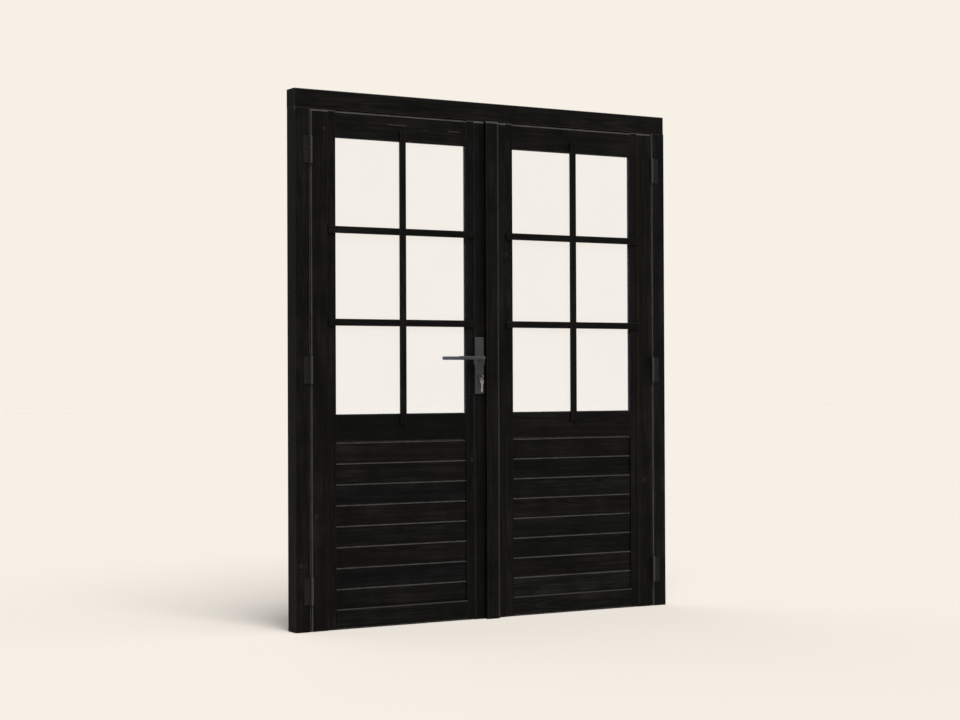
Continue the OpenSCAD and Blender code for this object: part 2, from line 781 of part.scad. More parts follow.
module lock_case() color(steel) difference() {
    x1 = lock_edge - forend_t;
    block([x1 - case_d, -case_t / 2, case_z0], [x1, case_t / 2, case_z1]);
    block([x1 - case_d + case_wall, -case_t / 2 + case_wall, case_z0 + case_wall],
          [x1 - case_wall, case_t / 2 - case_wall, case_z1 - case_wall]);
    rod_y(lock_x, lever_z, follower_r + play, -case_t, case_t);
    cylinder_profile(-case_t, case_t, cyl_gap);
    bolt_windows(x1 - case_wall - eps, x1 + eps);
    rod_x(0, cyl_screw_z, plate_screw_r + screw_play, x1 - case_wall - eps, x1 + eps);
}

// Windows that guide the latch and the dead bolt
module bolt_windows(x0, x1) {
    block([x0, -latch_w / 2 - slide_gap, latch_z - latch_h / 2 - slide_gap],
          [x1, latch_w / 2 + slide_gap, latch_z + latch_h / 2 + slide_gap]);
    block([x0, -bolt_w / 2 - slide_gap, bolt_z - bolt_h / 2 - slide_gap],
          [x1, bolt_w / 2 + slide_gap, bolt_z + bolt_h / 2 + slide_gap]);
}

module forend_screws(grow = 0) {
    for (z = [forend_z0 + forend_screw_in, forend_z1 - forend_screw_in])
        translate([lock_edge, 0, z]) rotate([0, 90, 0])
            screw(hinge_screw_r, hinge_screw_head_r, forend_t, hinge_screw_l, grow);
}

module lock_forend() color(silver) difference() {
    block([lock_edge - forend_t, -forend_w / 2, forend_z0], [lock_edge, forend_w / 2, forend_z1]);
    bolt_windows(lock_edge - forend_t - eps, lock_edge + eps);
    forend_screws(screw_play);
    cylinder_screw(screw_play);
}

// Spring latch, bevelled on the side that meets the strike as the leaf closes
module latch_bolt() color(silver) {
    tip = lock_edge + latch_throw;
    tail = lock_x + follower_r + latch_throw + 3;
    translate([0, 0, latch_z - latch_h / 2]) linear_extrude(latch_h) polygon([
        [tail, -latch_w / 2], [tip, -latch_w / 2], [tip, -latch_w / 2 + latch_nose_t],
        [lock_edge + 1, latch_w / 2], [tail, latch_w / 2]]);
}

module dead_bolt() color(silver) {
    block([lock_x + cam_tooth_r + 2, -bolt_w / 2, bolt_z - bolt_h / 2],
          [lock_edge - 0.5, bolt_w / 2, bolt_z + bolt_h / 2]);
}

// Woodwork before the leaf's face, cut back where the outer backplate needs the room
module clear_of_plate() difference() {
    children();
    block([lock_x - plate_w / 2 - plate_clear, front - cover_t - eps, plate_z0 - plate_clear],
          [lock_x + plate_w / 2 + plate_clear, rail_y, plate_z0 + plate_h + plate_clear]);
}

// Backplate with rounded corners and a round swelling below the lever, from y0 to y1
module plate_blank(y0, y1) {
    r = plate_corner_r;
    x0 = lock_x - plate_w / 2;
    x1 = lock_x + plate_w / 2;
    z1 = plate_z0 + plate_h;
    block([x0 + r, y0, plate_z0], [x1 - r, y1, z1]);
    block([x0, y0, plate_z0 + r], [x1, y1, z1 - r]);
    for (x = [x0 + r, x1 - r], z = [plate_z0 + r, z1 - r]) rod_y(x, z, r, y0, y1);
    rod_y(lock_x, lever_z - swell_drop, swell_r, y0, y1);
}

module plate() difference() {
    union() {
        plate_blank(front - plate_t, front);
        rod_y(lock_x, lever_z, collar_r, front - plate_t - collar_t, front - plate_t + eps);
    }
    rod_y(lock_x, lever_z, neck_r + play, front - plate_t - collar_t - eps, front + eps);
    cylinder_profile(front - plate_t - eps, front + eps, cyl_gap);
}

module plate_bolts(grow = 0) {
    for (z = plate_screw_zs)
        translate([lock_x, back + plate_t, z]) rotate([-90, 0, 0])
            screw(plate_screw_r, plate_screw_head_r, plate_screw_head_h, plate_screw_l, grow);
}

module cylinder_screw(grow = 0) {
    translate([lock_edge, 0, cyl_screw_z]) rotate([0, 90, 0])
        screw(plate_screw_r, plate_screw_head_r, forend_t, backset + 1, grow);
}

module outer_plate() color(steel) difference() {
    plate();
    plate_bolts(screw_play);
}
module inner_plate() color(steel) difference() {
    mirror([0, 1, 0]) plate();
    plate_bolts(screw_play);
}
module plate_screws() color(silver) {
    plate_bolts();
    cylinder_screw();
}

module lever() difference() {
    union() {
        rod_y(lock_x, lever_z, neck_r, -lever_reach, front - neck_in);
        translate([lock_x, -lever_reach, lever_z]) sphere(r = neck_r);
        rod_x(-lever_reach, lever_z, lever_r, lock_x - lever_l + lever_r, lock_x);
        translate([lock_x - lever_l + lever_r, -lever_reach, lever_z]) sphere(r = lever_r);
    }
    block([lock_x - spindle_w / 2, -spindle_end, lever_z - spindle_w / 2],
          [lock_x + spindle_w / 2, 0, lever_z + spindle_w / 2]);
}

module outer_lever() color(steel) lever();
module inner_lever() color(steel) mirror([0, 1, 0]) lever();

module spindle_bar(y) {
    block([lock_x - spindle_w / 2, -y, lever_z - spindle_w / 2],
          [lock_x + spindle_w / 2, y, lever_z + spindle_w / 2]);
}
module spindle() color(silver) spindle_bar(spindle_end);

module follower() color(silver) difference() {
    rod_y(lock_x, lever_z, follower_r, -follower_end, follower_end);
    spindle_bar(case_t);
}

module lock_cylinder() color(silver) difference() {
    cylinder_profile(-cyl_half_l, cyl_half_l);
    block([lock_x - cam_space, -cam_slot, cyl_z - cam_swing],
          [lock_x + cam_space, cam_slot, cyl_z + cam_space]);
    rod_y(lock_x, cyl_z, plug_r + play, -cyl_half_l - eps, 0);
    key_slab(cyl_half_l - keyway_back, cyl_half_l + eps);
    cylinder_screw(screw_play);
}

// Flat of the key or its keyway, from y0 to y1
module key_slab(y0, y1) {
    block([lock_x - key_t / 2, y0, cyl_z - key_half_h], [lock_x + key_t / 2, y1, cyl_z + key_half_h]);
}

module lock_cam() color(silver) {
    rod_y(lock_x, cyl_z, cam_r, -cam_half, cam_half);
    block([lock_x - cam_tooth_w / 2, -cam_half, cyl_z],
          [lock_x + cam_tooth_w / 2, cam_half, cyl_z + cam_tooth_r]);
}

module cylinder_plug() color(silver) difference() {
    rod_y(lock_x, cyl_z, plug_r, -cyl_half_l, -cam_slot);
    key_slab(-cyl_half_l - eps, -cyl_half_l + key_in);
}

module key() color(silver) difference() {
    union() {
        key_slab(key_bow_y, -cyl_half_l + key_in);
        rod_x(key_bow_y, cyl_z, key_bow_r, lock_x - key_t / 2, lock_x + key_t / 2);
    }
    rod_x(key_bow_y, cyl_z - key_hole_drop, key_hole_r, lock_x - key_t, lock_x + key_t);
}

// Split ring, in an upright plane turned 45 degrees
module key_ring() color(silver) translate([lock_x, key_bow_y, ring_z]) rotate([0, 0, 45]) rotate([90, 0, 0])
    rotate_extrude() translate([ring_r, 0]) circle(r = ring_wire_r);

module spare_key() color(silver) difference() {
    union() {
        rod_y(lock_x, spare_bow_z, spare_bow_r, key_bow_y - key_t / 2, key_bow_y + key_t / 2);
        block([lock_x - spare_blade_w / 2, key_bow_y - key_t / 2, spare_tip_z],
              [lock_x + spare_blade_w / 2, key_bow_y + key_t / 2, spare_bow_z]);
    }
    rod_y(lock_x, spare_hole_z, key_hole_r, key_bow_y - key_t, key_bow_y + key_t);
}

frame_head();
frame_jamb_left();
frame_jamb_right();
frame_screws();
seal_head();
seal_left();
seal_right();
bolt_keep();
jamb_flaps_left();
jamb_flaps_right();
hinge_pins();
hinge_screws();
active_hinge_stile();
active_lock_stile();
active_top_rail();
active_mid_rail();
active_bottom_rail();
active_boards();
active_glass();
active_bar_vertical();
active_bar_upper();
active_bar_lower();
active_beads();
active_flaps();
active_screws();
cover_strip();
passive_hinge_stile();
passive_meeting_stile();
passive_top_rail();
passive_mid_rail();
passive_bottom_rail();
passive_boards();
passive_glass();
passive_bar_vertical();
passive_bar_upper();
passive_bar_lower();
passive_beads();
passive_flaps();
passive_screws();
strike_plate();
flush_bolt_bodies();
top_bolt();
bottom_bolt();
lock_case();
lock_forend();
latch_bolt();
dead_bolt();
outer_plate();
inner_plate();
plate_screws();
outer_lever();
inner_lever();
spindle();
follower();
lock_cylinder();
lock_cam();
cylinder_plug();
key();
key_ring();
spare_key();
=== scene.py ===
import math
import random

import bmesh
import bpy
from mathutils import Matrix, Vector


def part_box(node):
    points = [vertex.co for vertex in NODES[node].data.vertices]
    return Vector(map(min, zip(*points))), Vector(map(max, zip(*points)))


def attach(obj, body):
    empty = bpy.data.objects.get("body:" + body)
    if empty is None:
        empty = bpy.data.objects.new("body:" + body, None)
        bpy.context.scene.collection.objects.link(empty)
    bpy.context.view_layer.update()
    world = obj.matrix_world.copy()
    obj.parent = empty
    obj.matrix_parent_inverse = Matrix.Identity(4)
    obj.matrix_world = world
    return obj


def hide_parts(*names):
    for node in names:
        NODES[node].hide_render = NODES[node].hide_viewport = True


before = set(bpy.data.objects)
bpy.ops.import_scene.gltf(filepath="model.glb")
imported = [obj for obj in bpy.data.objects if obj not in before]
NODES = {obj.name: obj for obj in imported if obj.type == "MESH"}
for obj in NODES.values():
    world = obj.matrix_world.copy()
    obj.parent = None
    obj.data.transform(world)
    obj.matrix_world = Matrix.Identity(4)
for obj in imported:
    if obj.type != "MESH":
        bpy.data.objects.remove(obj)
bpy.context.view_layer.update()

scene = bpy.context.scene


# ---------------------------------------------------------------- materials

class Net:
    """A small helper for building one material's nodes."""

    def __init__(self, name):
        self.mat = bpy.data.materials.new(name)
        self.mat.use_nodes = True
        self.tree = self.mat.node_tree
        self.shader = next(n for n in self.tree.nodes if n.type == "BSDF_PRINCIPLED")

    def add(self, kind, **inputs):
        node = self.tree.nodes.new("ShaderNode" + kind)
        for key, value in inputs.items():
            self.put(node, key, value)
        return node

    def put(self, node, key, value):
        """Sets or links an input: i0, i1 and so on by number, else by name with _ for a space."""
        numbered = key[0] == "i" and key[1:].isdigit()
        socket = node.inputs[int(key[1:]) if numbered else key.replace("_", " ")]
        if isinstance(value, bpy.types.NodeSocket):
            self.tree.links.new(value, socket)
        else:
            socket.default_value = value

    def math(self, op, a, b=0.0, c=0.0, clamp=False):
        node = self.add("Math", i0=a, i1=b, i2=c)
        node.operation = op
        node.use_clamp = clamp
        return node.outputs[0]

    def mul(self, a, b, clamp=False):
        return self.math("MULTIPLY", a, b, clamp=clamp)

    def plus(self, a, b):
        return self.math("ADD", a, b)

    def minus(self, a, b):
        return self.math("SUBTRACT", a, b)

    def mul_plus(self, a, times, plus):
        return self.math("MULTIPLY_ADD", a, times, plus)

    def more(self, a, b):
        return self.math("MAXIMUM", a, b)

    def length(self, a, b):
        """Length of the plane vector (a, b)."""
        return self.math("SQRT", self.plus(self.mul(a, a), self.mul(b, b)))

    def close(self, value, centre, far, full):
        """1 within full of centre, falling to 0 at far from it."""
        return self.ramp01(self.math("ABSOLUTE", self.minus(value, centre)), far, full)

    def squareness(self, normal):
        """1 on a face square to an axis, less on an arris."""
        nx, ny, nz = (self.math("ABSOLUTE", n) for n in self.xyz(normal))
        return self.more(self.more(nx, ny), nz)

    def stretched(self, across, y, along, scales, detail, rough=0.5):
        """Noise with its own scales across, through and along the grain."""
        wide, deep, long = scales
        vector = self.vec(self.mul(across, wide), self.mul(y, deep), self.mul(along, long))
        return self.noise(vector, 1.0, detail, rough)

    def ramp01(self, value, low, high):
        """0 at low, 1 at high, clamped."""
        node = self.add("MapRange", i0=value, i1=low, i2=high, i3=0.0, i4=1.0)
        return node.outputs[0]

    def noise(self, vector, scale, detail=2.0, rough=0.5):
        node = self.add("TexNoise", Vector=vector, Scale=scale, Detail=detail, Roughness=rough)
        return node.outputs[0]

    def mix(self, factor, a, b):
        node = self.tree.nodes.new("ShaderNodeMix")
        node.data_type = "RGBA"
        self.put(node, "i0", factor)
        for index, value in ((6, a), (7, b)):
            if isinstance(value, bpy.types.NodeSocket):
                self.tree.links.new(value, node.inputs[index])
            else:
                node.inputs[index].default_value = (*value, 1.0)
        return node.outputs[2]

    def xyz(self, vector):
        return self.add("SeparateXYZ", Vector=vector).outputs

    def vec(self, x, y, z):
        return self.add("CombineXYZ", X=x, Y=y, Z=z).outputs[0]

    def set(self, **values):
        for key, value in values.items():
            self.put(self.shader, key, value)

    def bump(self, height, strength, distance):
        node = self.add("Bump", Height=height, Strength=strength, Distance=distance)
        self.put(self.shader, "Normal", node.outputs[0])


# Height above which every arris carries a full painted highlight, for the leaves' top edges, and the
# same for the top board's bevel
TOP_HIGHLIGHT_Z = 1.9270
TOP_BOARD_HIGHLIGHT_Z = 0.6900
# Height over which these painted highlights fade in
HIGHLIGHT_SOFT = 0.0005
# Stain at its darkest and at its lightest, and where it is rubbed thin on the arrises, which also
# serves as a painted highlight on lit arrises and bevels
DARK = (0.0005, 0.0005, 0.0004)
LIGHT = (0.0100, 0.0096, 0.0082)
WEAR_AND_HIGHLIGHT = (0.056, 0.052, 0.047)
KNOT = (0.019, 0.0168, 0.0132)
KNOT_RIM = (0.0020, 0.0019, 0.0017)
RINGS_PER_M = 150.0
# Noise scales across, through and along the grain, per metre
WANDER = (5.0, 1.0, 1.6)
RIPPLE = (40.0, 1.0, 9.0)
FIBRE = (900.0, 900.0, 16.0)
STREAK = (75.0, 75.0, 3.0)
BRUSH_MARKS = (3000.0, 3000.0, 60.0)
# How far the first two move the growth rings, in metres
WANDER_BY = 0.055
RIPPLE_BY = 0.0035
# How far the grain of one board is moved along and across from the next one's
BOARD_SHIFT = 3.37
BOARD_SPREAD = 0.07
# A face is square to an axis above the first value, and fully an arris below the second
ARRIS = (0.990, 0.940)
# Share of the rubbing that every arris shows, outside the spans of painted highlight
RUB_EVERYWHERE = 0.16
WOOD_SPECULAR = 0.07


def scaled(colour, k, tint=(1, 1, 1)):
    return tuple(c * k * t for c, t in zip(colour, tint))


def add_knots(net, knots, across, along, radius, ripple):
    """Bends the rings round each knot, and returns the new ring radius and the knots' (spot, rim)."""
    core = None
    for at, height, size in knots:
        da = net.math("DIVIDE", net.minus(across, at), size)
        dl = net.math("DIVIDE", net.minus(along, height), size * 1.25)
        q = net.length(da, dl)
        swirl = net.math("POWER", 2.718, net.mul(net.mul(q, q), -0.22))
        radius = net.plus(radius, net.mul(swirl, size * 1.5))
        q = net.plus(q, net.mul(net.minus(ripple, 0.5), 0.5))
        spot = net.ramp01(q, 1.05, 0.8)
        rim = net.close(q, 1.0, 0.22, 0.05)
        rings = net.math("FRACT", net.mul(q, 3.1))
        spot = net.mul(spot, net.mul_plus(rings, 0.5, 0.5))
        core = (net.more(core[0], spot), net.more(core[1], rim)) if core else (spot, rim)
    return radius, core


def tone_boards(net, colour, index, tones):
    """Multiplies the colour by each board's own tone. The ramp holds half of it, as it can't pass 1."""
    ramp = net.tree.nodes.new("ShaderNodeValToRGB")
    ramp.color_ramp.interpolation = "CONSTANT"
    stops = ramp.color_ramp.elements
    count = len(tones)
    for i, tone in enumerate(tones):
        stop = stops[0] if i == 0 else stops.new(i / count)
        stop.color = (*(0.5 * v for v in tone), 1.0)
    stops.remove(stops[-1])
    net.put(ramp, "i0", net.math("DIVIDE", net.plus(index, 0.5), float(count)))
    times = net.tree.nodes.new("ShaderNodeMix")
    times.data_type = "RGBA"
    times.blend_type = "MULTIPLY"
    times.inputs[0].default_value = 1.0
    net.tree.links.new(colour, times.inputs[6])
    net.tree.links.new(ramp.outputs[0], times.inputs[7])
    twice = net.add("VectorMath", i0=times.outputs[2], i1=(2.0, 2.0, 2.0))
    twice.operation = "MULTIPLY"
    return twice.outputs[0]


def wood(name, grain, seed, middle=0.0, tone=1.0, tint=(1, 1, 1), knots=(), boards=None, marks=(),
         highlight_spans=(), joint=None):
    """Black-stained softwood. grain is the axis it runs along. In metres: middle is the piece's own,
    across the grain, knots are (across, along, radius), marks (across, start, end, half width), the
    spans (from x, to x, share) where the arrises carry a painted highlight, joint the height of a
    faint line, and boards (lowest z, pitch, tones)."""
    rng = random.Random(seed)
    net = Net(name)
    coords = net.add("TexCoord").outputs
    x, y, z = net.xyz(coords["Object"])
    across, along = (x, z) if grain == "z" else (z, x)
    plain_along = along
    plain_across = across
    shift = rng.uniform(-40, 40)
    if boards:
        z0, pitch, tones = boards
        index = net.math("FLOOR", net.math("DIVIDE", net.minus(z, z0), pitch))
        along = net.plus(along, net.mul(index, BOARD_SHIFT))
        across = net.minus(across, net.mul(index, pitch))
        index_noise = net.add("TexWhiteNoise", Vector=net.vec(index, seed + 0.5, 0.0)).outputs[0]
    along = net.plus(along, shift)
    pith = rng.uniform(-0.02, 0.02)
    depth = rng.uniform(0.025, 0.05)
    aside = rng.uniform(-0.03, 0.03)

    # growth rings: distance from a pith line behind the face, with a slow wander
    wander = net.stretched(across, y, along, WANDER, 2.0)
    ripple = net.stretched(across, y, along, RIPPLE, 2.0)
    if boards:
        a = net.minus(across, z0 + pitch * 0.5)
        a = net.plus(a, net.mul(net.minus(index_noise, 0.5), BOARD_SPREAD))
    else:
        a = net.minus(across, middle + pith + aside)
    radius = net.length(a, net.plus(y, depth))
    radius = net.plus(radius, net.mul(wander, WANDER_BY))
    radius = net.plus(radius, net.mul(ripple, RIPPLE_BY))
    radius, core = add_knots(net, knots, plain_across, plain_along, radius, ripple)
    rings = net.math("FRACT", net.mul(radius, RINGS_PER_M))
    late = net.mul(net.ramp01(rings, 0.35, 0.90), net.ramp01(rings, 1.0, 0.92))

    fibre = net.stretched(across, y, along, FIBRE, 3.0, 0.6)
    streak = net.stretched(across, y, along, STREAK, 3.0, 0.6)
    blotch = net.noise(coords["Object"], 7.0, 3.0, 0.6)
    light = net.mul_plus(late, 0.46, net.mul(net.ramp01(fibre, 0.38, 0.72), 0.26))
    light = net.plus(light, net.mul(net.ramp01(streak, 0.42, 0.66), 0.62))
    light = net.mul(light, net.ramp01(blotch, 0.26, 0.70), clamp=True)
    colour = net.mix(light, scaled(DARK, tone, tint), scaled(LIGHT, tone, tint))
    if boards:
        colour = tone_boards(net, colour, index, tones)
    if core:
        colour = net.mix(net.mul(core[0], 0.70), colour, scaled(KNOT, tone))
        colour = net.mix(net.mul(core[1], 0.7), colour, scaled(KNOT_RIM, tone))
    for at, start, end, thick in marks:
        line = net.close(plain_across, at, thick, thick * 0.4)
        middle, half = (start + end) / 2, (end - start) / 2
        reach = net.close(plain_along, middle, half, half * 0.8)
        colour = net.mix(net.mul(net.mul(line, reach), 0.75), colour, scaled(WEAR_AND_HIGHLIGHT, 0.75))
    if joint:
        line = net.close(z, joint, 0.0030, 0.0010)
        colour = net.mix(net.mul(line, 0.45), colour, scaled(WEAR_AND_HIGHLIGHT, 0.5))

    # stain rubbed thin along the arrises as wear, a little on every arris; the same lighter colour in
    # full along the leaves' tops, at the given spans and on the board bevels is also a painted
    # highlight
    edge = net.ramp01(net.squareness(coords["Normal"]), *ARRIS)
    patchy = net.noise(coords["Object"], 24.0, 3.0, 0.6)
    edge = net.mul(edge, net.mul_plus(net.ramp01(patchy, 0.30, 0.62), 0.40, 0.60))
    if boards:
        # the top board's bevel lies in the rail's shade and gets a painted highlight 3.2 times the
        # rubbed colour
        top = net.ramp01(z, TOP_BOARD_HIGHLIGHT_Z, TOP_BOARD_HIGHLIGHT_Z + HIGHLIGHT_SOFT)
        highlight_colour = scaled(WEAR_AND_HIGHLIGHT, 3.2)
    else:
        # every arris above this height carries the full painted highlight, for the leaves' tops
        top = net.ramp01(z, TOP_HIGHLIGHT_Z, TOP_HIGHLIGHT_Z + HIGHLIGHT_SOFT)
        highlight_colour = scaled(WEAR_AND_HIGHLIGHT, 1.15)
        share_here = net.more(top, RUB_EVERYWHERE)
        # arrises in these spans carry a painted highlight
        for low, high, share in highlight_spans:
            span = net.mul(net.ramp01(x, low - 0.0003, low), net.ramp01(x, high + 0.0003, high))
            share_here = net.more(share_here, net.mul(span, share))
        edge = net.mul(edge, share_here)
    # arrises take the rubbed colour, and above the highlight height a brighter painted highlight colour
    colour = net.mix(edge, colour, net.mix(top, WEAR_AND_HIGHLIGHT, highlight_colour))

    rough = net.mul_plus(light, -0.14, 0.66)
    rough = net.plus(rough, net.mul(net.minus(blotch, 0.5), 0.12))
    net.set(Base_Color=colour, Roughness=rough)
    net.shader.inputs["Specular IOR Level"].default_value = WOOD_SPECULAR
    height = net.plus(net.mul(late, 0.6), net.mul(fibre, 0.55))
    if core:
        height = net.plus(height, net.mul(core[1], -0.8))
    net.bump(height, 0.55, 0.0004)
    return net.mat


def metal(name, colour, rough, metallic=0.0, grit=0.0, edge=0.0, spec=0.5, brushed=False, proud=None):
    """Painted or bare metal with fine texture. edge is how far the paint is rubbed along the arrises,
    brushed gives upright brush marks, and proud (y, colour) is the tone of what stands out past y."""
    net = Net(name)
    coords = net.add("TexCoord").outputs
    fine = net.noise(coords["Object"], 1400.0, 3.0, 0.6)
    broad = net.noise(coords["Object"], 60.0, 3.0, 0.6)
    base = net.mix(net.ramp01(broad, 0.3, 0.7), scaled(colour, 0.86), scaled(colour, 1.12))
    if proud:
        level, bare = proud
        y = net.xyz(coords["Object"])[1]
        base = net.mix(net.ramp01(y, level + 0.0006, level), base, bare)
    if edge:
        square = net.squareness(coords["Normal"])
        rubbed = net.mul(net.ramp01(square, 0.97, 0.80), net.ramp01(broad, 0.25, 0.6))
        base = net.mix(net.mul(rubbed, edge), base, scaled(colour, 2.1))
    net.set(Base_Color=base)
    net.shader.inputs["Metallic"].default_value = metallic
    net.shader.inputs["Specular IOR Level"].default_value = spec
    if brushed:
        fine = net.stretched(*net.xyz(coords["Object"]), BRUSH_MARKS, 2.0)
    net.set(Roughness=net.mul_plus(fine, 0.16, rough - 0.08))
    net.bump(fine, grit, 0.0001)
    return net.mat


# Board tones from the bottom board up
LEFT_TONES = [(1.0, 0.98, 0.96), (0.62, 0.68, 0.80), (1.12, 1.0, 1.0), (0.9, 0.9, 0.9),
              (1.1, 1.0, 1.02), (0.58, 0.66, 0.76), (1.0, 0.95, 1.0), (1.1, 1.04, 0.96)]
RIGHT_TONES = [(1.35, 1.55, 1.42), (1.05, 0.98, 1.05), (0.60, 0.62, 0.68), (0.66, 0.70, 0.74),
               (1.1, 1.0, 1.0), (1.0, 1.04, 0.96), (0.56, 0.60, 0.62), (1.15, 1.08, 0.98)]

# Spans of painted highlight along the gaps between jambs and leaves, and the height where the head sits
# on the jambs
LEFT_GAP_HIGHLIGHT = (-0.784, -0.769, 1.0)
RIGHT_GAP_HIGHLIGHT = (0.769, 0.784, 1.0)
HEAD_JOINT = 1.9385
WOOD = {
    "frame_head": dict(grain="x", tone=1.0, tint=(1.05, 1.0, 1.0)),
    "frame_jamb_left": dict(grain="z", tone=0.9, tint=(1.0, 1.0, 0.98), knots=[(-0.818, 0.245, 0.009)],
                            highlight_spans=[LEFT_GAP_HIGHLIGHT], joint=HEAD_JOINT),
    "frame_jamb_right": dict(grain="z", tone=1.0, tint=(1.0, 0.98, 1.02), highlight_spans=[RIGHT_GAP_HIGHLIGHT],
                             joint=HEAD_JOINT),
    "active_hinge_stile": dict(grain="z", tone=0.9, tint=(1.06, 1.0, 0.94), highlight_spans=[LEFT_GAP_HIGHLIGHT],
                               knots=[(-0.720, 1.868, 0.007), (-0.755, 0.425, 0.009)]),
    "active_lock_stile": dict(grain="z", tone=0.8, knots=[(-0.085, 0.62, 0.009)]),
    "active_top_rail": dict(grain="x", tone=0.95, tint=(1.0, 0.97, 1.0),
                            marks=[(1.898, -0.455, -0.365, 0.0024), (1.888, -0.190, -0.130, 0.0024)]),
    "active_mid_rail": dict(grain="x", tone=0.42, tint=(0.90, 1.10, 0.92)),
    "active_bottom_rail": dict(grain="x", tone=0.95, marks=[(0.0735, -0.80, 0.02, 0.0030)]),
    "passive_hinge_stile": dict(grain="z", tone=0.95, tint=(1.02, 1.0, 0.98), highlight_spans=[RIGHT_GAP_HIGHLIGHT],
                                knots=[(0.735, 0.52, 0.010)]),
    "passive_meeting_stile": dict(grain="z", tone=0.9, knots=[(0.075, 1.42, 0.009)]),
    "passive_top_rail": dict(grain="x", tone=0.9, tint=(1.05, 1.0, 1.0)),
    "passive_mid_rail": dict(grain="x", tone=0.9, tint=(1.05, 1.0, 0.92)),
    "passive_bottom_rail": dict(grain="x", tone=1.0, marks=[(0.0735, -0.02, 0.80, 0.0030)]),
    # painted highlight along the cover strip's right bevel
    "cover_strip": dict(grain="z", tone=1.0, tint=(1.02, 1.0, 1.0), highlight_spans=[(0.0195, 0.0295, 0.42)]),
    "active_bar_vertical": dict(grain="z", tone=0.7),
    "active_bar_upper": dict(grain="x", tone=0.7),
    "active_bar_lower": dict(grain="x", tone=0.7),
    "passive_bar_vertical": dict(grain="z", tone=0.7),
    "passive_bar_upper": dict(grain="x", tone=0.7),
    "passive_bar_lower": dict(grain="x", tone=0.7),
    "active_beads": dict(grain="x", tone=0.9),
    "passive_beads": dict(grain="x", tone=0.9),
}
BOARD_Z0 = 0.076
BOARD_PITCH = 0.078


def dress(node, material, bevel=0.0, segments=2):
    """Gives a CAD node its material, welds its split vertices and rounds its arrises."""
    obj = NODES[node]
    obj.data.materials.clear()
    obj.data.materials.append(material)
    if bevel:
        weld = obj.modifiers.new("weld", "WELD")
        weld.merge_threshold = 0.00001
        mod = obj.modifiers.new("arris", "BEVEL")
        mod.width = bevel
        mod.segments = segments
        mod.limit_method = "ANGLE"
        mod.angle_limit = math.radians(30.0)
        mod.use_clamp_overlap = True


for number, (node, how) in enumerate(WOOD.items()):
    low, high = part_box(node)
    axis = 0 if how["grain"] == "z" else 2
    middle = (low[axis] + high[axis]) / 2
    dress(node, wood("wood_" + node, seed=11 + number, middle=middle, **how), bevel=0.0007)
for side, tones, seed in (("active", LEFT_TONES, 71), ("passive", RIGHT_TONES, 83)):
    boarding = wood("wood_" + side + "_boards", "x", seed, boards=(BOARD_Z0, BOARD_PITCH, tones))
    dress(side + "_boards", boarding, bevel=0.0006)

# The knuckles stand out of the flaps and are rubbed lighter
BLACK_STEEL = metal("black_steel", (0.0072, 0.0070, 0.0066), 0.55, grit=0.35, edge=0.3, spec=0.12,
                    proud=(-0.0240, (0.040, 0.039, 0.037)))
LOCK_METAL = metal("lock_metal", (0.028, 0.0275, 0.027), 0.42, grit=0.25, edge=0.9, spec=0.4)
BRIGHT = metal("bright_steel", (0.60, 0.575, 0.54), 0.30, metallic=1.0, grit=0.2, brushed=True)
NICKEL = metal("nickel", (0.47, 0.46, 0.44), 0.26, metallic=1.0, grit=0.1)
DULL_NICKEL = metal("dull_nickel", (0.34, 0.333, 0.318), 0.30, metallic=1.0, grit=0.15)
DARK_CYLINDER = metal("dark_cylinder", (0.150, 0.147, 0.141), 0.35, metallic=1.0, grit=0.15)


def glass_material():
    net = Net("clear_glass")
    coords = net.add("TexCoord").outputs
    film = net.noise(coords["Object"], 3.0, 3.0, 0.55)
    net.set(Base_Color=net.mix(net.ramp01(film, 0.25, 0.75), (0.42, 0.57, 0.78), (0.56, 0.69, 0.86)))
    net.shader.inputs["Roughness"].default_value = 0.03
    net.shader.inputs["Alpha"].default_value = 0.045
    net.shader.inputs["IOR"].default_value = 1.5
    return net.mat


GLASS = glass_material()
for node in ("active_glass", "passive_glass"):
    dress(node, GLASS)


def rubber_material():
    net = Net("seal_rubber")
    coords = net.add("TexCoord").outputs
    grain = net.noise(coords["Object"], 700.0, 3.0, 0.6)
    net.set(Base_Color=net.mix(grain, (0.006, 0.006, 0.006), (0.014, 0.014, 0.014)),
            Roughness=net.mul_plus(grain, 0.2, 0.62))
    net.bump(grain, 0.2, 0.0002)
    return net.mat


RUBBER = rubber_material()
for node in ("seal_head", "seal_left", "seal_right"):
    dress(node, RUBBER, bevel=0.0008, segments=3)
for node in ("bolt_keep", "jamb_flaps_left", "jamb_flaps_right", "hinge_pins", "active_flaps",
             "passive_flaps", "strike_plate", "flush_bolt_bodies", "hinge_screws", "active_screws",
             "passive_screws"):
    dress(node, BLACK_STEEL, bevel=0.0003)
for node in ("outer_plate", "inner_plate", "outer_lever", "inner_lever"):
    dress(node, LOCK_METAL, bevel=0.0008, segments=3)
for node in ("frame_screws", "lock_case", "lock_forend", "plate_screws", "spindle", "follower",
             "latch_bolt", "dead_bolt", "lock_cam", "top_bolt", "bottom_bolt"):
    dress(node, BRIGHT, bevel=0.0003)
for node in ("lock_cylinder", "cylinder_plug"):
    dress(node, DARK_CYLINDER, bevel=0.0003)
for node in ("key", "key_ring", "spare_key"):
    dress(node, NICKEL, bevel=0.0002)


# ---------------------------------------------------------------- detailed pieces

def linked(name, bm):
    """An object in the scene made from bm."""
    mesh = bpy.data.meshes.new(name)
    bm.to_mesh(mesh)
    bm.free()
    obj = bpy.data.objects.new(name, mesh)
    scene.collection.objects.link(obj)
    return obj


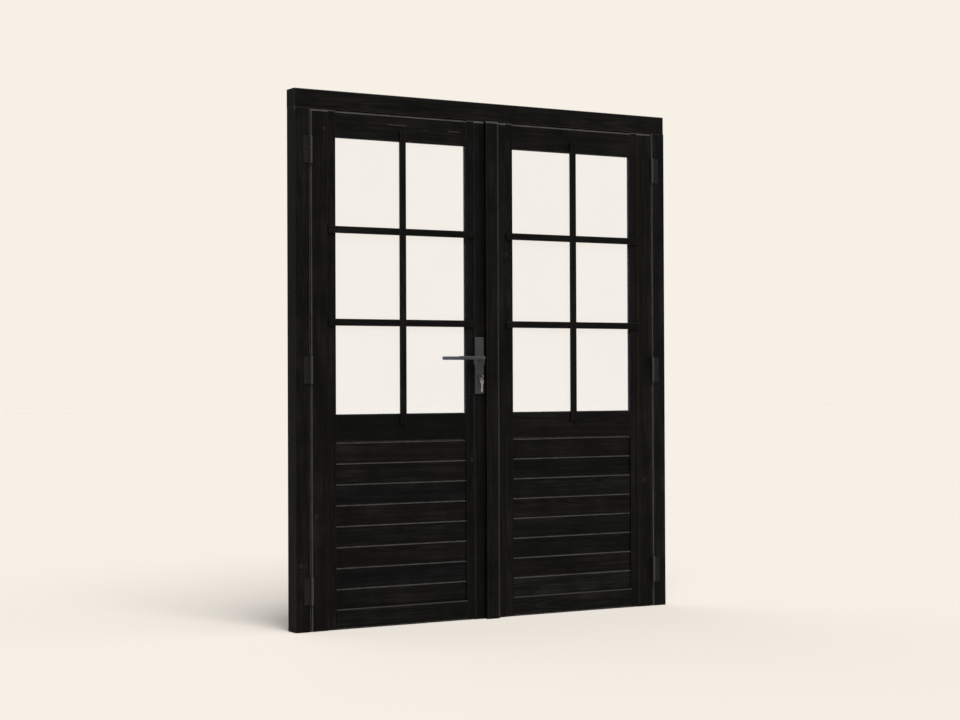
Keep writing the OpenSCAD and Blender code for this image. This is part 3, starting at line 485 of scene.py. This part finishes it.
def piece(name, bm, material, body, *nodes, smooth=40.0):
    """Turns bm into an object that stands for CAD nodes and rides on their body."""
    bmesh.ops.recalc_face_normals(bm, faces=bm.faces)
    obj = linked(name, bm)
    obj.data.materials.append(material)
    for face in obj.data.polygons:
        face.use_smooth = True
    obj.data.set_sharp_from_angle(angle=math.radians(smooth))
    if nodes:
        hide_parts(*nodes)
    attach(obj, body)
    return obj


def steps(count):
    """The angles of one turn in equal steps."""
    return [2 * math.pi * k / count for k in range(count)]


def skin(bm, a, b):
    """Joins two rings of vertices with faces."""
    for i in range(len(a)):
        j = (i + 1) % len(a)
        bm.faces.new((a[i], a[j], b[j], b[i]))


def loft(bm, rings):
    """Skins a list of rings of points, with flat caps at both ends."""
    made = [[bm.verts.new(p) for p in ring] for ring in rings]
    for a, b in zip(made, made[1:]):
        skin(bm, a, b)
    bm.faces.new(made[0])
    bm.faces.new(made[-1])


def turned(bm, profile, place, count):
    """Rings of vertices round the local Z axis, one for each (radius, height) of the profile."""
    return [[bm.verts.new(place @ Vector((r * math.cos(t), r * math.sin(t), h))) for t in steps(count)]
            for r, h in profile]


def lathe(bm, profile, place, count=48):
    """Turns a closed loop of (radius, height) points about the local Z axis."""
    rings = turned(bm, profile, place, count)
    for a, b in zip(rings, rings[1:] + rings[:1]):
        skin(bm, a, b)


def superellipse(a, b, power, count=40):
    """Points of an ellipse, squarer than one where power is above 2."""
    out = []
    for t in steps(count):
        c, s = math.cos(t), math.sin(t)
        out.append((a * math.copysign(abs(c) ** (2 / power), c),
                    b * math.copysign(abs(s) ** (2 / power), s)))
    return out


def islands(node):
    """Boxes of a CAD node's separate solids, as (lowest corner, highest corner, points)."""
    mesh = NODES[node].data
    keys, parent = {}, []

    def find(i):
        while parent[i] != i:
            parent[i] = parent[parent[i]]
            i = parent[i]
        return i

    ids = []
    for v in mesh.vertices:
        key = tuple(round(c, 6) for c in v.co)
        if key not in keys:
            keys[key] = len(parent)
            parent.append(len(parent))
        ids.append(keys[key])
    for face in mesh.polygons:
        first = find(ids[face.vertices[0]])
        for v in face.vertices[1:]:
            parent[find(ids[v])] = first
    groups = {}
    for key, i in keys.items():
        groups.setdefault(find(i), []).append(Vector(key))
    return [(Vector(map(min, zip(*points))), Vector(map(max, zip(*points))), points)
            for points in groups.values()]


def add_screw(bm, low, high, points, turn):
    """A countersunk screw with a cross recess, in the place of a CAD screw."""
    size = high - low
    axis = max(range(3), key=lambda i: size[i])
    middle = (low + high) / 2
    u, v = (i for i in range(3) if i != axis)

    def reach(end):
        """Radius of the CAD screw at one end."""
        near = [p for p in points if abs(p[axis] - end) < 0.0002]
        return max((math.hypot(p[u] - middle[u], p[v] - middle[v]) for p in near), default=0.0)

    up = reach(high[axis]) > reach(low[axis])
    top = Vector(middle)
    top[axis] = high[axis] if up else low[axis]
    head_r = max(size[u], size[v]) / 2
    shank_r = reach(low[axis] if up else high[axis])
    head_h = head_r - shank_r if axis != 2 else head_r * 0.7
    out = Vector((0, 0, 0))
    out[axis] = 1 if up else -1
    aim = out.to_track_quat("Z", "Y").to_matrix().to_4x4()
    place = Matrix.Translation(top) @ aim @ Matrix.Rotation(turn, 4, "Z")
    rings = turned(bm, [(head_r * 0.93, 0.0), (head_r, -head_r * 0.07), (shank_r, -head_h),
                        (shank_r, -size[axis] * 0.93), (shank_r * 0.3, -size[axis])], place, 24)
    for a, b in zip(rings, rings[1:]):
        skin(bm, a, b)
    bm.faces.new(rings[-1])

    # cross recess: half width and half length of its arms
    w, l = head_r * 0.15, head_r * 0.58
    cross = [(w, w), (w, l), (-w, l), (-w, w), (-l, w), (-l, -w),
             (-w, -w), (-w, -l), (w, -l), (w, -w), (l, -w), (l, w)]
    mouth = [bm.verts.new(place @ Vector((x, y, 0.0))) for x, y in cross]
    pit = [bm.verts.new(place @ Vector((x * 0.6, y * 0.6, -head_r * 0.42))) for x, y in cross]
    loop = []
    for ring in (rings[0], mouth):
        for a, b in zip(ring, ring[1:] + ring[:1]):
            loop.append(bm.edges.get((a, b)) or bm.edges.new((a, b)))
    bmesh.ops.triangle_fill(bm, use_beauty=True, edges=loop)
    skin(bm, mouth, pit)
    bm.faces.new(pit)


def screws(name, node, material, body):
    """Replaces a node of screws, each with its cross turned at random."""
    rng = random.Random(node)
    bm = bmesh.new()
    for low, high, points in islands(node):
        add_screw(bm, low, high, points, rng.uniform(0, math.pi))
    piece(name, bm, material, body, node, smooth=35.0)


screws("hinge_screws_cross", "hinge_screws", BLACK_STEEL, "frame")
screws("active_screws_cross", "active_screws", BLACK_STEEL, "active_leaf")
screws("passive_screws_cross", "passive_screws", BLACK_STEEL, "passive_leaf")
screws("plate_screws_cross", "plate_screws", LOCK_METAL, "active_leaf")
screws("frame_screws_cross", "frame_screws", BRIGHT, "frame")

# Lock, in metres: its axis, the leaf's face, the backplate's thickness, half width and ends
LOCK_X = -0.0545
LEVER_Z = 1.014
CYLINDER_Z = 0.942
FACE = 0.020
PLATE_T = 0.008
PLATE_HALF = 0.020
PLATE_LOW = 0.8745
PLATE_HIGH = 1.0945
PLATE_CORNER = 0.005
PLATE_ROUND = 0.0022
PLATE_STEP = 0.002
# The swelling round the lever, and how softly it joins the straight sides
SWELL_R = 0.025
SWELL_Z = LEVER_Z - 0.015
SWELL_SOFT = 0.0012
# Lock cylinder: radius, half width of its web, how far that drops, and the hole's clearance
CYLINDER_R = 0.0085
CYLINDER_WEB = 0.005
CYLINDER_DROP = 0.0195
CYLINDER_CLEAR = 0.0003
# Rose round the lever's neck, as (radius, height off the leaf)
ROSE = [(0.00856, -0.004), (0.013, -0.004), (0.013, 0.0112), (0.0127, 0.0117), (0.0122, 0.01198),
        (0.0094, 0.01198), (0.0088, 0.0117), (0.00856, 0.0112)]
PLATE_SCREW_HOLE_R = 0.00255
PLATE_SCREW_HEAD_R = 0.00455


def half_width(z):
    """Half the backplate's width at height z, with the swelling faired into the straight sides."""
    dz = abs(z - SWELL_Z)
    swell = math.sqrt(SWELL_R ** 2 - dz ** 2) if dz < SWELL_R else 0.0
    wide = 0.5 * (PLATE_HALF + swell + math.sqrt((PLATE_HALF - swell) ** 2 + SWELL_SOFT ** 2))
    wide = min(wide, SWELL_R) if swell else PLATE_HALF
    end = min(z - PLATE_LOW, PLATE_HIGH - z)
    r = PLATE_CORNER
    if end < r:
        wide = min(wide, PLATE_HALF - r + math.sqrt(max(0.0, r * r - (r - end) ** 2)))
    return wide


def plate_outline():
    r = PLATE_CORNER
    levels = round((PLATE_HIGH - PLATE_LOW - 2 * r) / PLATE_STEP)
    zs = [PLATE_LOW + r * (1 - math.cos(math.pi / 2 * k / 6)) for k in range(7)]
    zs += [PLATE_LOW + r + k * PLATE_STEP for k in range(1, levels)]
    zs += [PLATE_HIGH - r * (1 - math.cos(math.pi / 2 * k / 6)) for k in range(6, -1, -1)]
    right = [(half_width(z), z) for z in zs]
    return right + [(-x, z) for x, z in reversed(right)]


def inset(outline, d):
    """The outline moved inwards by d along its own normals."""
    out = []
    n = len(outline)
    for i, (x, z) in enumerate(outline):
        (xa, za), (xb, zb) = outline[i - 1], outline[(i + 1) % n]
        tx, tz = xb - xa, zb - za
        length = math.hypot(tx, tz) or 1.0
        out.append((x - tz / length * d, z + tx / length * d))
    return out


def cut(obj, bm):
    """Cuts the solid bm out of obj and applies it."""
    bmesh.ops.recalc_face_normals(bm, faces=bm.faces)
    tool = linked("cutter", bm)
    mod = obj.modifiers.new("cut", "BOOLEAN")
    mod.operation = "DIFFERENCE"
    mod.solver = "EXACT"
    mod.object = tool
    done = bpy.data.meshes.new_from_object(obj.evaluated_get(bpy.context.evaluated_depsgraph_get()))
    obj.modifiers.clear()
    done.name = obj.data.name + "_cut"
    obj.data = done
    bpy.data.objects.remove(tool)


def cylinder_outline(grow, count=24):
    """Keyhole-shaped outline of the lock cylinder, as (x, z) about its own axis."""
    r, w = CYLINDER_R + grow, CYLINDER_WEB + grow
    start = -math.acos(w / r)
    out = []
    for k in range(count + 1):
        t = start + (math.pi - 2 * start) * k / count
        out.append((r * math.cos(t), r * math.sin(t)))
    for k in range(13):
        t = math.pi + math.pi * k / 12
        out.append((w * math.cos(t), -CYLINDER_DROP + w * math.sin(t)))
    return out


def build_plate(name, side, node):
    """Backplate with its rose and holes. side is -1 outside, 1 inside."""
    bm = bmesh.new()
    outline = plate_outline()
    top = PLATE_T - PLATE_ROUND
    rings = [(0.0004, 0.0), (0.0, 0.0004), (0.0, top)]
    rings += [(PLATE_ROUND * (1 - math.cos(a)), top + PLATE_ROUND * math.sin(a))
              for a in (math.pi / 2 * k / 6 for k in range(1, 7))]
    loft(bm, [[(LOCK_X + x, side * (FACE + y), z) for x, z in inset(outline, d)] for d, y in rings])
    obj = piece(name, bm, LOCK_METAL, "active_leaf", node, smooth=30.0)
    bm = bmesh.new()
    hole = cylinder_outline(CYLINDER_CLEAR)
    loft(bm, [[(LOCK_X + x, side * (FACE + y), CYLINDER_Z + z) for x, z in hole]
              for y in (-0.002, PLATE_T + 0.002)])
    cut(obj, bm)
    bm = bmesh.new()
    aim = Matrix.Rotation(-side * math.pi / 2, 4, "X")
    lathe(bm, ROSE, Matrix.Translation((LOCK_X, side * FACE, LEVER_Z)) @ aim)
    piece(name + "_rose", bm, LOCK_METAL, "active_leaf", smooth=30.0)
    if side > 0:
        # the two long screws come in from this side, countersunk
        bm = bmesh.new()
        face = FACE + PLATE_T
        sections = ((PLATE_SCREW_HOLE_R, 0.010), (PLATE_SCREW_HOLE_R, face - 0.003),
                    (PLATE_SCREW_HEAD_R, face), (PLATE_SCREW_HEAD_R, face + 0.001))
        for low, high, _ in islands("plate_screws"):
            x, z = (low.x + high.x) / 2, (low.z + high.z) / 2
            if high.y - low.y > 0.02:
                loft(bm, [[(x + r * math.cos(t), y, z + r * math.sin(t)) for t in steps(24)]
                          for r, y in sections])
        cut(obj, bm)


build_plate("outer_backplate", -1, "outer_plate")
build_plate("inner_backplate", 1, "inner_plate")

# Levers, in metres: the tip's x, how far the grip stands off the leaf's middle, and their sections
LEVER_TIP = -0.1665
REACH = 0.064
LEVER_BEND = 0.010
NECK_R = 0.0083
GRIP_DEEP = 0.0060
GRIP_TALL = 0.0069
GRIP_SQUARER = 0.9
TIP_ROUND = 0.002


def build_lever(name, side, node):
    """Round neck turned through a tight bend into a slightly flattened grip with a softened end."""
    bend = LEVER_BEND
    path = [(LOCK_X, 0.023), (LOCK_X, 0.034), (LOCK_X, 0.046), (LOCK_X, REACH - bend)]
    path += [(LOCK_X - bend + bend * math.cos(t), REACH - bend + bend * math.sin(t))
             for t in (math.pi / 2 * k / 8 for k in range(1, 9))]
    x_end = LEVER_TIP + TIP_ROUND
    grip = LOCK_X - bend - x_end
    path += [(LOCK_X - bend - grip * k / 14, REACH) for k in range(1, 15)]
    total = len(path)
    rings = []
    for i, (x, y) in enumerate(path):
        a = path[max(0, i - 1)]
        b = path[min(total - 1, i + 1)]
        tx, ty = b[0] - a[0], b[1] - a[1]
        length = math.hypot(tx, ty)
        nx, ny = -ty / length, tx / length
        share = min(1.0, max(0.0, (i - 3) / 10.0))
        deep = NECK_R + (GRIP_DEEP - NECK_R) * share
        tall = NECK_R + (GRIP_TALL - NECK_R) * share
        rings.append([(x + nx * u, side * (y + ny * u), LEVER_Z + v)
                      for u, v in superellipse(deep, tall, 2.0 + GRIP_SQUARER * share)])
    for k in range(1, 6):
        t = math.pi / 2 * k / 5
        shrink = TIP_ROUND * (1 - math.cos(t))
        rings.append([(x_end - TIP_ROUND * math.sin(t), side * (REACH + u), LEVER_Z + v)
                      for u, v in superellipse(GRIP_DEEP - shrink, GRIP_TALL - shrink,
                                               2.0 + GRIP_SQUARER)])
    # the last rings turn the same way round as the others
    flip = (rings[total - 1][0][1] - side * REACH) * (rings[total][0][1] - side * REACH) < 0
    if flip:
        for k in range(total, len(rings)):
            rings[k] = [(px, side * REACH - (py - side * REACH), pz) for px, py, pz in rings[k]]
    bm = bmesh.new()
    loft(bm, rings)
    piece(name, bm, LOCK_METAL, "lever_set", node, smooth=50.0)


build_lever("outer_handle", -1, "outer_lever")
build_lever("inner_handle", 1, "inner_lever")

# Keys, in metres: thickness, softened edge, and the places of bows, holes and split ring
KEY_T = 0.002
KEY_EDGE = 0.0003
BOW_Y = -0.044
HOLE_R = 0.0033
HOLE_Z = CYLINDER_Z - 0.0045
RING_Z = HOLE_Z - 0.0066
RING_R = 0.0045
RING_WIRE_R = 0.00045
RING_RISE = 0.0009
SPARE_HOLE_Z = RING_Z - 0.0066
SPARE_TIP_Z = CYLINDER_Z - 0.060
SPARE_HOLE_OFF = 0.0015
# Bow radius, half width of the neck and of the blade, and depths of the cuts
HOUSE_KEY = (0.0098, 0.0042, 0.0038)
HOUSE_CUTS = (0.0016, 0.0008, 0.002, 0.0012)
HOUSE_LENGTH = 0.0328
SPARE_KEY = (0.0079, 0.0035, 0.0034)
SPARE_CUTS = (0.0018, 0.0009, 0.0021, 0.0012, 0.0019)
BOW_POWER = 2.5
BOW_FLAT = 1.12


def flat_key(name, outline, hole, place, material, node):
    """A flat key with softened edges: outline and hole are (u, v) points, its thickness is along Z."""
    bm = bmesh.new()
    loops = []
    for points in (outline, hole):
        verts = [bm.verts.new((u, v, 0.0)) for u, v in points]
        loops += [bm.edges.new((a, b)) for a, b in zip(verts, verts[1:] + verts[:1])]
    filled = bmesh.ops.triangle_fill(bm, use_beauty=True, edges=loops)
    faces = [g for g in filled["geom"] if isinstance(g, bmesh.types.BMFace)]
    made = bmesh.ops.extrude_face_region(bm, geom=faces)
    top = [g for g in made["geom"] if isinstance(g, bmesh.types.BMVert)]
    bmesh.ops.translate(bm, verts=top, vec=(0, 0, KEY_T))
    bmesh.ops.translate(bm, verts=bm.verts, vec=(0, 0, -KEY_T / 2))
    rim = [e for e in bm.edges if len(e.link_faces) == 2 and e.calc_face_angle(0) > 1.2
           and abs(e.verts[0].co.z - e.verts[1].co.z) < 1e-7]
    bmesh.ops.bevel(bm, geom=rim, offset=KEY_EDGE, segments=2, profile=0.5, affect="EDGES",
                    clamp_overlap=True)
    bmesh.ops.transform(bm, matrix=place, verts=bm.verts)
    piece(name, bm, material, "key_set", node, smooth=35.0)


def circle(r, u, v, count=28):
    turns = (2 * math.pi * k / count for k in range(count - 1, -1, -1))
    return [(u + r * math.cos(t), v + r * math.sin(t)) for t in turns]


def key_outline(bow_r, neck, blade_half, length, teeth):
    """Bow at the origin, blade towards +u, cut with teeth on its upper edge."""
    start = math.asin(neck / bow_r)
    out = []
    for k in range(33):
        t = start + (2 * math.pi - 2 * start) * k / 32
        c, s = math.cos(t), math.sin(t)
        scale = (abs(c) ** BOW_POWER + abs(s) ** BOW_POWER) ** (-1 / BOW_POWER)
        scale = min(scale, BOW_FLAT) / BOW_FLAT
        out.append((bow_r * c * scale, bow_r * s * scale))
    out += [(out[-1][0] + 0.001, -blade_half), (length - 0.002, -blade_half),
            (length, -blade_half * 0.4)]
    first = bow_r + 0.004
    step = (length - 0.003 - first) / len(teeth)
    out.append((length, 0.0))
    for k in range(len(teeth) - 1, -1, -1):
        u = first + step * (k + 0.5)
        out += [(u + step * 0.28, blade_half - teeth[k] * 0.6), (u, blade_half - teeth[k])]
    out += [(first - 0.001, blade_half), (out[0][0] + 0.001, blade_half)]
    return out


def build_keys():
    """A key in the cylinder, a split ring through its bow, and a second key hanging from the ring."""
    toward_lock = Matrix.Translation((LOCK_X, BOW_Y, CYLINDER_Z)) @ Matrix(
        ((0, 0, 1, 0), (1, 0, 0, 0), (0, 1, 0, 0), (0, 0, 0, 1)))
    flat_key("house_key", key_outline(*HOUSE_KEY, HOUSE_LENGTH, HOUSE_CUTS),
             circle(HOLE_R, 0.0, HOLE_Z - CYLINDER_Z), toward_lock, DULL_NICKEL, "key")

    bow_z = SPARE_HOLE_Z - SPARE_HOLE_OFF
    hang = Matrix.Translation((LOCK_X, BOW_Y, bow_z)) @ Matrix(
        ((0, 1, 0, 0), (0, 0, -1, 0), (-1, 0, 0, 0), (0, 0, 0, 1)))
    flat_key("hanging_key", key_outline(*SPARE_KEY, bow_z - SPARE_TIP_Z, SPARE_CUTS),
             circle(HOLE_R, -SPARE_HOLE_OFF, 0.0), hang, NICKEL, "spare_key")

    # split ring: two turns of wire that rise by its thickness in all
    bm = bmesh.new()
    turn = Matrix.Translation((LOCK_X, BOW_Y, RING_Z)) @ Matrix.Rotation(math.radians(45), 4, "Z")
    count = 96
    rings = []
    for k in range(count + 1):
        t = 4 * math.pi * k / count
        outward = Vector((math.cos(t), 0, math.sin(t)))
        centre = RING_R * outward + Vector((0, RING_RISE * (k / count - 0.5), 0))
        wire = (outward * math.cos(q) + Vector((0, math.sin(q), 0)) for q in steps(10))
        rings.append([turn @ (centre + RING_WIRE_R * w) for w in wire])
    loft(bm, rings)
    piece("split_ring", bm, DULL_NICKEL, "key_set", "key_ring")


build_keys()


# ---------------------------------------------------------------- studio

# The photograph's background, and the dim sky that lights the object
BACKDROP = (0.930, 0.871, 0.791, 1.0)
SKY = (0.80, 0.86, 0.95, 1.0)
SKY_STRENGTH = 0.16
FLOOR = (0.838, 0.779, 0.701, 1.0)
FLOOR_R = 60.0
FLOOR_Z = -0.0005
# Name, strength, tilt and turn in degrees, and width of the light in degrees
SUNS = (("key", 3.1, 38, -12, 40), ("fill", 0.65, 60, 55, 60), ("back", 0.55, 55, 190, 60))


def studio():
    bm = bmesh.new()
    bmesh.ops.create_circle(bm, cap_ends=True, radius=FLOOR_R, segments=96)
    obj = linked("floor", bm)
    obj.location.z = FLOOR_Z
    net = Net("floor")
    net.shader.inputs["Base Color"].default_value = FLOOR
    net.shader.inputs["Roughness"].default_value = 0.95
    net.shader.inputs["Specular IOR Level"].default_value = 0.0
    obj.data.materials.append(net.mat)

    world = bpy.data.worlds.new("studio")
    scene.world = world
    world.use_nodes = True
    tree = world.node_tree
    back = tree.nodes["Background"]
    back.inputs[0].default_value = BACKDROP
    sky = tree.nodes.new("ShaderNodeBackground")
    sky.inputs[0].default_value = SKY
    sky.inputs[1].default_value = SKY_STRENGTH
    path = tree.nodes.new("ShaderNodeLightPath")
    mix = tree.nodes.new("ShaderNodeMixShader")
    tree.links.new(path.outputs["Is Camera Ray"], mix.inputs[0])
    tree.links.new(sky.outputs[0], mix.inputs[1])
    tree.links.new(back.outputs[0], mix.inputs[2])
    tree.links.new(mix.outputs[0], tree.nodes["World Output"].inputs[0])

    for name, strength, tilt, turn, width in SUNS:
        lamp = bpy.data.lights.new(name, "SUN")
        lamp.energy = strength
        lamp.angle = math.radians(width)
        sun = bpy.data.objects.new(name, lamp)
        sun.rotation_euler = (math.radians(tilt), 0, math.radians(turn))
        scene.collection.objects.link(sun)


# Camera fitted to the outline of the frame: place in metres; azimuth, elevation and roll in degrees
CAMERA_AT = (-3.91483, -6.47314, 0.92983)
CAMERA_TURN = (-30.92766, 0.58103, -0.22523)
LENS = 72.514


def camera():
    data = bpy.data.cameras.new("camera")
    data.lens = LENS
    data.sensor_width = 36.0
    data.clip_end = 200.0
    obj = bpy.data.objects.new("camera", data)
    scene.collection.objects.link(obj)
    a, e, r = (math.radians(v) for v in CAMERA_TURN)
    look = Vector((-math.sin(a) * math.cos(e), math.cos(a) * math.cos(e), math.sin(e)))
    right = Vector((math.cos(a), math.sin(a), 0.0))
    up = right.cross(look)
    right, up = right * math.cos(r) + up * math.sin(r), up * math.cos(r) - right * math.sin(r)
    m = Matrix((right, up, -look)).transposed().to_4x4()
    m.translation = CAMERA_AT
    obj.matrix_world = m
    scene.camera = obj


studio()
camera()
scene.view_settings.view_transform = "Standard"
